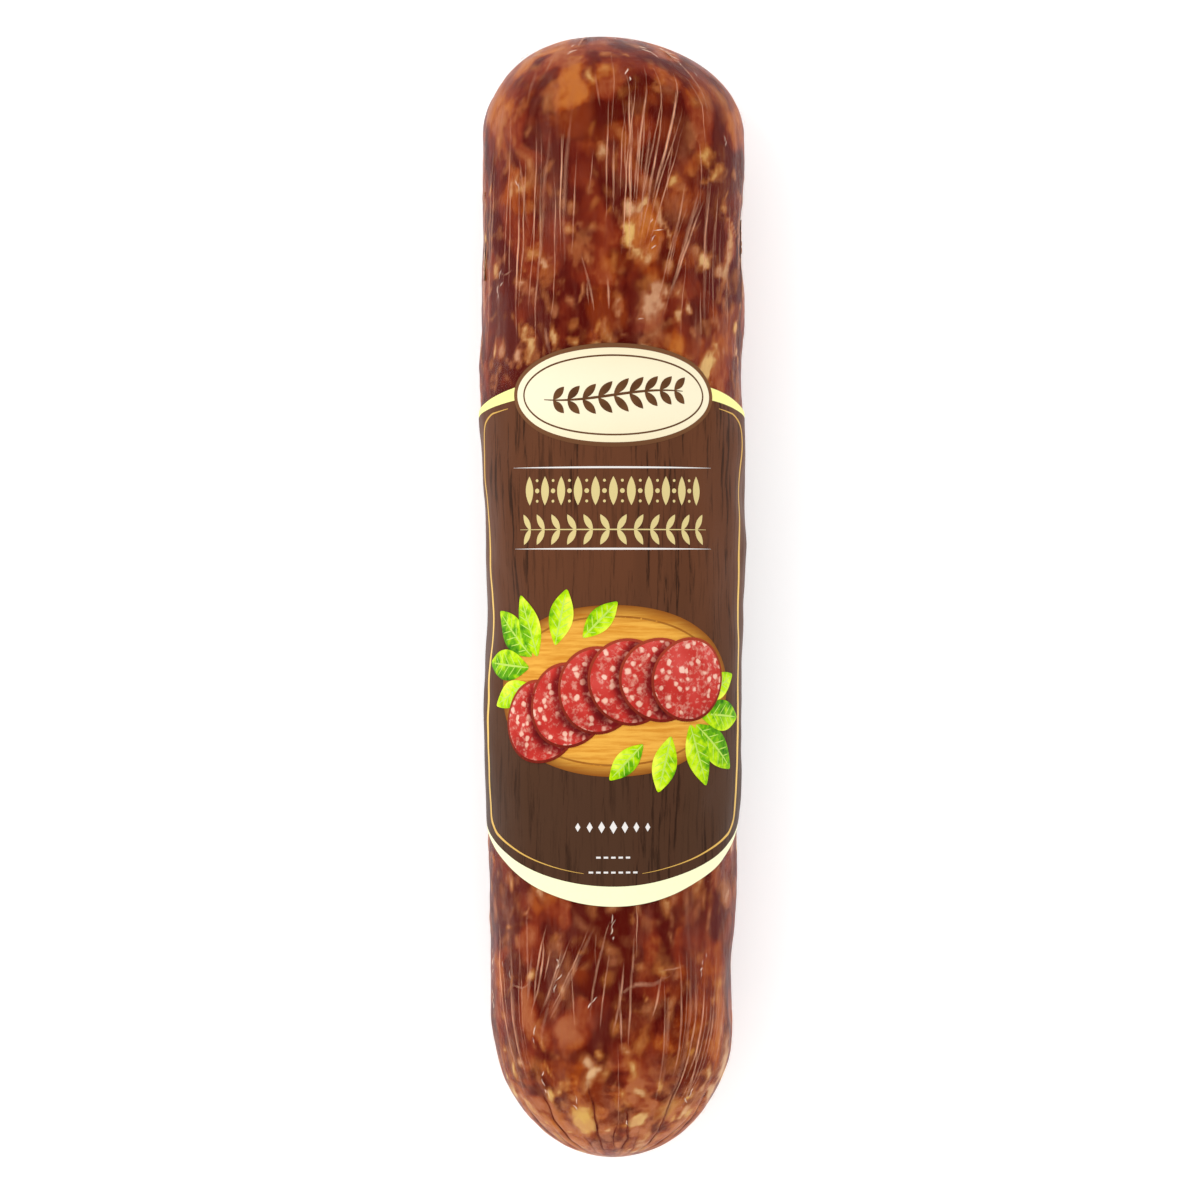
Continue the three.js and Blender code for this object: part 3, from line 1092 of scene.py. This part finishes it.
def board_material():
    """Printed serving board: golden wood with its grain running across."""
    r = print_recipe("printed board")
    along = r.node("Mapping", {"Vector": r.flat, "Scale": (0.08, 1, 1)}).outputs["Vector"]
    grain = r.noise(r.vector("ADD", along, (5, 2, 0)), 1.1, 4.0, 0.65)
    base = r.blend(r.band(grain, 0.35, 0.7), colour(240, 178, 74), colour(214, 140, 44))
    r.set("Base Color", r.blend(r.shade, base, colour(142, 80, 26)))
    return r.material


def leaf_material():
    r = print_recipe("printed leaves")
    ruffle = r.noise(r.flat, 1.8, 3.0, 0.6)
    tone = r.sway(r.shade, ruffle, 0.9)
    r.set("Base Color", r.ramp(
        tone,
        (0.05, 40, 110, 10), (0.35, 104, 176, 8),
        (0.65, 190, 232, 6), (1.0, 240, 254, 80),
    ))
    return r.material


def bow(x, low, high):
    """0 at both ends of a stretch and 1 in its middle."""
    return math.sin(math.pi * min(1.0, max(0.0, (x - low) / (high - low))))


def make_label():
    sheet = Print()
    sheet.strip(sheet_bottom, sheet_top, LABEL_HALF_WIDTH, SHEET_TOP, 150, 96, SHEET_UNDER)
    piece = sheet.finish("label_sheet", cream_material())
    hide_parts("label")

    panel = Print()
    panel.strip(panel_bottom, panel_top, LABEL_HALF_WIDTH - 0.3, PANEL_INK_TOP, 150, 90)
    panel.finish("label_panel", wood_material())

    # The thin gold frame line: down each side, round the corners and fading out below.
    gold = Print()
    for side in (-1, 1):
        edge = 44.6
        top_run = [(side * x, panel_top(x) - 1.7) for x in (31.5, 33, 35, 37, 39)]
        top_corner = [(side * x, y) for x, y in ((41.4, 47.4), (43.4, 45.9), (44.4, 43.7))]
        side_run = [(side * edge, y) for y in range(41, -56, -3)]
        foot_corner = [(side * x, y) for x, y in ((44.4, -57.4), (43.8, -58.9), (42.6, -60.2))]
        foot_run = [(side * x, panel_bottom(x) + 2.9) for x in range(40, 7, -2)]
        gold.stroke(
            smooth_outline(top_run + top_corner + side_run + foot_corner + foot_run, 3, closed=False),
            0.42, FRAME_INK_TOP, lambda x, y: 0.35 + 0.6 * bow(y, -75, 30), taper=0.25, widen=True,
        )
    ink = plain_ink("label gold line", colour(196, 144, 66), colour(250, 208, 112))
    gold.finish("label_frame_line", ink)
    make_badge()
    make_ornaments()
    make_picture()


def make_badge():
    """A plain cream oval badge with a ring and a brown sprig on it."""
    rim = Print()
    rim.shape(ellipse(0, BADGE_Y, BADGE_HALF_WIDTH, BADGE_HALF_HEIGHT, count=120), BADGE_RIM_TOP,
              lambda x, y: 0.3 + 0.6 * bow(y, 36, 74), under=BADGE_UNDER)
    rim.finish("badge_rim", plain_ink("badge brown", colour(92, 58, 36), colour(126, 84, 54), 0.1))
    field = Print()
    field.shape(
        ellipse(0, BADGE_Y, BADGE_HALF_WIDTH - 1.2, BADGE_HALF_HEIGHT - 1.2, count=120),
        BADGE_FIELD_TOP, lambda x, y: 0.2 + 0.8 * bow(y, 34, 72),
    )
    ink = plain_ink("badge cream", colour(232, 214, 168), colour(250, 240, 208), 0.1)
    field.finish("badge_field", ink)

    sprig = Print()
    ring = ellipse(0, BADGE_Y, BADGE_HALF_WIDTH - 3.4, BADGE_HALF_HEIGHT - 3.2, count=96)
    sprig.stroke(ring + ring[:1], 0.45, RING_INK_TOP)

    def stem_y(x):
        return BADGE_Y + 1.3 * math.sin(x / 9)

    sprig.stroke([(x, stem_y(x)) for x in range(-19, 20)], 0.7, RING_INK_TOP, taper=0.3)
    for number in range(-4, 5):
        x = number * 4.1
        size = 5.8 - 0.3 * abs(number)
        for side in (-1, 1):
            sprig.shape(
                leaf_lens(x + 0.36 * size, stem_y(x) + side * 0.39 * size, size, 2.1, -43 * side),
                SPRIG_INK_TOP, lambda x, y: 0.5 + 0.4 * noise.noise(Vector((x / 3, y / 3, 0))), cell=1.4,
            )
    sprig.finish("badge_sprig", plain_ink("sprig brown", colour(74, 44, 26), colour(122, 82, 50), 0.2))


RULES_Y = (34.0, 12.7)
LEAF_ROW_Y = 27.9
VINE_Y = 17.75
DIAMONDS_Y = -60.2


def make_ornaments():
    """Rules and rows of small leaves, diamonds and dots."""
    white = Print()
    for y in RULES_Y:
        white.stroke([(x, y) for x in range(-29, 30)], 0.5, ORNAMENT_INK_TOP, taper=0.1)
    for number in range(-3, 4):
        x, size = number * 3.2, 1.7 - 0.18 * abs(number)
        diamond = [
            (x - size * 0.6, DIAMONDS_Y), (x, DIAMONDS_Y - size),
            (x + size * 0.6, DIAMONDS_Y), (x, DIAMONDS_Y + size),
        ]
        white.shape(diamond, ORNAMENT_INK_TOP, cell=4)
    for y, reach in ((-68.1, 2), (-72.0, 3)):
        for number in range(-reach, reach + 1):
            x = number * 2.0
            white.stroke([(x - 0.6, y), (x, y), (x + 0.6, y)], 0.5, ORNAMENT_INK_TOP)
    ink = plain_ink("label white", colour(214, 206, 200), colour(255, 253, 250), 0.1)
    white.finish("label_rules", ink)

    cream = Print()
    for number in range(-5, 6):
        x = number * 4.7
        cream.shape(leaf_lens(x, LEAF_ROW_Y, 7.6, 2.3, 0), ORNAMENT_INK_TOP, cell=1.4)
        if number < 5:
            for y, size in ((LEAF_ROW_Y, 0.62), (30.6, 0.38), (25.2, 0.38)):
                cream.shape(ellipse(x + 2.35, y, size, size, count=20), ORNAMENT_INK_TOP, cell=3)
    for number in range(-6, 6):
        x = (number + 0.5) * 4.45
        lean = 30 if number < 0 else -30
        cream.shape(leaf_lens(x, 19.6, 4.9, 1.7, lean), ORNAMENT_INK_TOP, cell=1.4)
        cream.shape(leaf_lens(x, 15.9, 4.9, 1.7, -lean), ORNAMENT_INK_TOP, cell=1.4)
    stem = [(x, VINE_Y) for x in range(-27, 28, 2)]
    cream.stroke(stem, 0.35, ORNAMENT_INK_TOP, taper=0.3)
    ink = plain_ink("label pale gold", colour(206, 184, 116), colour(232, 216, 158), 0.2)
    cream.finish("label_ornaments", ink)


# The picture on the label: a plain serving board seen from above.
BOARD_MIDDLE = (0.0, -24.5)
BOARD_HALF_WIDTH, BOARD_HALF_HEIGHT = 36.0, 22.5
SLICE_COUNT = 6
SLICE_RADIUS = 11.6
SLICE_SPACING = 8.6
SLICE_ROUNDNESS = 0.95
RIND_WIDTH = 0.75

# Leaves of the two sprigs: the base's place from the board's middle, heading from upright, length
# and width. The second sprig is the first one turned half round.
SPRIG_LEAVES = [
    (-24, 9, 52, 19, 8.6), (-22, 9, 20, 17, 8.0), (-16, 12, -14, 15, 7.0), (-25, 6, 86, 18, 8.2),
    (-8, 14, -44, 13, 6.0), (-26, 2, 116, 14, 6.6),
]


def slice_middle(number):
    """The middle of one slice of the row that lies slanting across the board."""
    place = number - (SLICE_COUNT - 1) / 2
    return (
        BOARD_MIDDLE[0] + place * SLICE_SPACING,
        BOARD_MIDDLE[1] + place * 2.2 + 2.5 * math.cos(place * 0.9) - 1.0,
    )


def make_picture():
    """A slanting row of round slices with a sprig of leaves at each end, on a serving board."""
    leaves, veins, slices, rims, board = Print(), Print(), Print(), Print(), Print()

    def board_shade(x, y):
        up = (y - BOARD_MIDDLE[1]) / BOARD_HALF_HEIGHT
        return smooth_step(math.hypot(x / BOARD_HALF_WIDTH, up), 0.80, 1.02)

    edge = ellipse(*BOARD_MIDDLE, BOARD_HALF_WIDTH, BOARD_HALF_HEIGHT, count=110)
    board.shape(edge, BOARD_INK_TOP, board_shade)
    groove = ellipse(*BOARD_MIDDLE, BOARD_HALF_WIDTH - 3.2, BOARD_HALF_HEIGHT - 3.0, count=96)
    board.stroke(groove + groove[:1], 0.5, GROOVE_INK_TOP, lambda x, y: 0.8)

    def leaf(base, heading, length, width, light, top):
        """A pointed leaf with a midrib and side veins, lighter on one side of the midrib."""
        turned = math.radians(heading)
        ahead = Vector((-math.sin(turned), math.cos(turned)))
        side = Vector((ahead.y, -ahead.x))
        middle = base + ahead * length / 2

        def shade(x, y):
            off = (Vector((x, y)) - middle).dot(side) / width
            return light + 0.5 * off + 0.3 * noise.noise(Vector((x / 2.5, y / 2.5, light * 9)))

        leaves.shape(smooth_outline(leaf_lens(*middle, length, width, heading), 3), top, shade)
        vein_top = top + LEAF_STEP_UP / 2
        midrib = [tuple(base + ahead * length * share / 12) for share in range(12)]
        veins.stroke(midrib, 0.55, vein_top, taper=0.2)
        for number in range(1, 6):
            root = base + ahead * length * number / 7
            reach = width * 0.40 * math.sin(math.pi * (number + 0.6) / 7)
            for way in (-1, 1):
                tip = root + side * way * reach + ahead * reach * 0.9
                vein = [tuple(root.lerp(tip, share / 4)) for share in range(5)]
                veins.stroke(vein, 0.28, vein_top, taper=0.3)

    for half_turn in (1, -1):
        for number, (across, up, heading, length, width) in enumerate(SPRIG_LEAVES):
            base = Vector(BOARD_MIDDLE) + half_turn * Vector((across, up))
            leaf(base, heading + (0 if half_turn > 0 else 180), length, width,
                 0.45 + 0.12 * (number % 3), LEAF_INK_TOP + LEAF_STEP_UP * number)

    for number in range(SLICE_COUNT):
        x, y = slice_middle(number)
        next_x, next_y = slice_middle(number + 1)
        tilt = 40 * number
        top = SLICE_INK_TOP + SLICE_STEP_UP * number

        def shade(at_x, at_y):
            light = 0.52 + 0.16 * noise.noise(Vector((at_x / 5, at_y / 5, number)))
            light += 0.10 * (at_y - y) / SLICE_RADIUS
            if number < SLICE_COUNT - 1:
                beyond = math.hypot(at_x - next_x, at_y - next_y) - SLICE_RADIUS
                light -= 0.34 * (1 - smooth_step(beyond, 0.0, 2.6))
            return light

        half_height = SLICE_RADIUS * SLICE_ROUNDNESS
        rims.shape(ellipse(x, y, SLICE_RADIUS, half_height, tilt, 60), top,
                   lambda at_x, at_y: 0.35 + 0.3 * (at_y - y) / SLICE_RADIUS)
        inside = ellipse(x, y, SLICE_RADIUS - RIND_WIDTH, half_height - RIND_WIDTH, tilt, 60)
        slices.shape(inside, top + SLICE_STEP_UP / 2, shade)

    leaves.finish("print_leaves", leaf_material())
    vein_ink = plain_ink("printed leaf veins", colour(150, 200, 40), colour(226, 246, 130), 0.3)
    veins.finish("print_leaf_veins", vein_ink)
    rim_ink = plain_ink("printed slice rims", colour(112, 26, 16), colour(190, 78, 52), 0.4)
    rims.finish("print_slice_rims", rim_ink)
    slices.finish("print_slices", slice_material())
    board.finish("print_board", board_material())


# ---- Studio ----

FLOOR_GLOW = 0.32
WORLD_GLOW = 0.97
LAMPS_AIM = Vector((0, 0, 0.03))

# The camera looks straight down from far off, a little to one side of the middle.
CAMERA_DISTANCE = 1.5
FRAME_HEIGHT = 0.320
LOOK_AT = Vector((-0.0035, -0.0007, 0.035))
SENSOR_WIDTH = 36


def make_studio():
    bm = bmesh.new()
    bmesh.ops.create_grid(bm, x_segments=2, y_segments=2, size=3.0)
    r = Recipe("studio floor", Roughness=0.9, Specular_IOR_Level=0.0)
    grain = r.noise(r.where(), 3.0, 2.0, 0.5)
    r.set("Base Color", r.blend(grain, (0.95, 0.95, 0.95, 1), (0.97, 0.97, 0.97, 1)))
    r.set("Emission Color", (1, 1, 1, 1))
    r.set("Emission Strength", FLOOR_GLOW)
    mesh_object("studio_floor", bm, r.material, smooth=False)

    world = bpy.data.worlds.new("studio")
    bpy.context.scene.world = world
    world.use_nodes = True
    background = world.node_tree.nodes["Background"]
    background.inputs["Color"].default_value = (1, 1, 1, 1)
    background.inputs["Strength"].default_value = WORLD_GLOW
    world.cycles_visibility.glossy = False

    # One broad soft light from the upper left, and narrow strips that only show as shine.
    for name, place, size, power, only_shine in (
        ("broad_softbox", (-0.7, 0.35, 1.1), (0.7, 0.7), 3.2, False),
        ("left_strip", (-0.9, 0.1, 0.45), (0.06, 1.5), 0.8, True),
        ("right_strip", (0.9, -0.1, 0.40), (0.06, 1.4), 0.5, True),
    ):
        light = bpy.data.lights.new(name, "AREA")
        light.shape = "RECTANGLE"
        light.size, light.size_y = size
        light.energy = power
        lamp = new_object(name, light)
        lamp.visible_glossy = only_shine
        lamp.visible_diffuse = not only_shine
        lamp.location = place
        lamp.rotation_euler = (LAMPS_AIM - lamp.location).to_track_quat("-Z", "Y").to_euler()


def make_camera():
    camera = bpy.data.cameras.new("camera")
    camera.sensor_width = SENSOR_WIDTH
    camera.lens = SENSOR_WIDTH * CAMERA_DISTANCE / FRAME_HEIGHT
    eye = new_object("camera", camera)
    eye.location = LOOK_AT + Vector((0, 0, CAMERA_DISTANCE))
    bpy.context.scene.camera = eye


make_camera()
make_studio()
make_meat(meat_material())
make_film(film_material())
make_fold_lips(fold_lip_shade_material())
make_creases(crease_highlight_material())
make_glints(painted_glint_material())
make_label()

bpy.context.scene.view_settings.view_transform = "Standard"
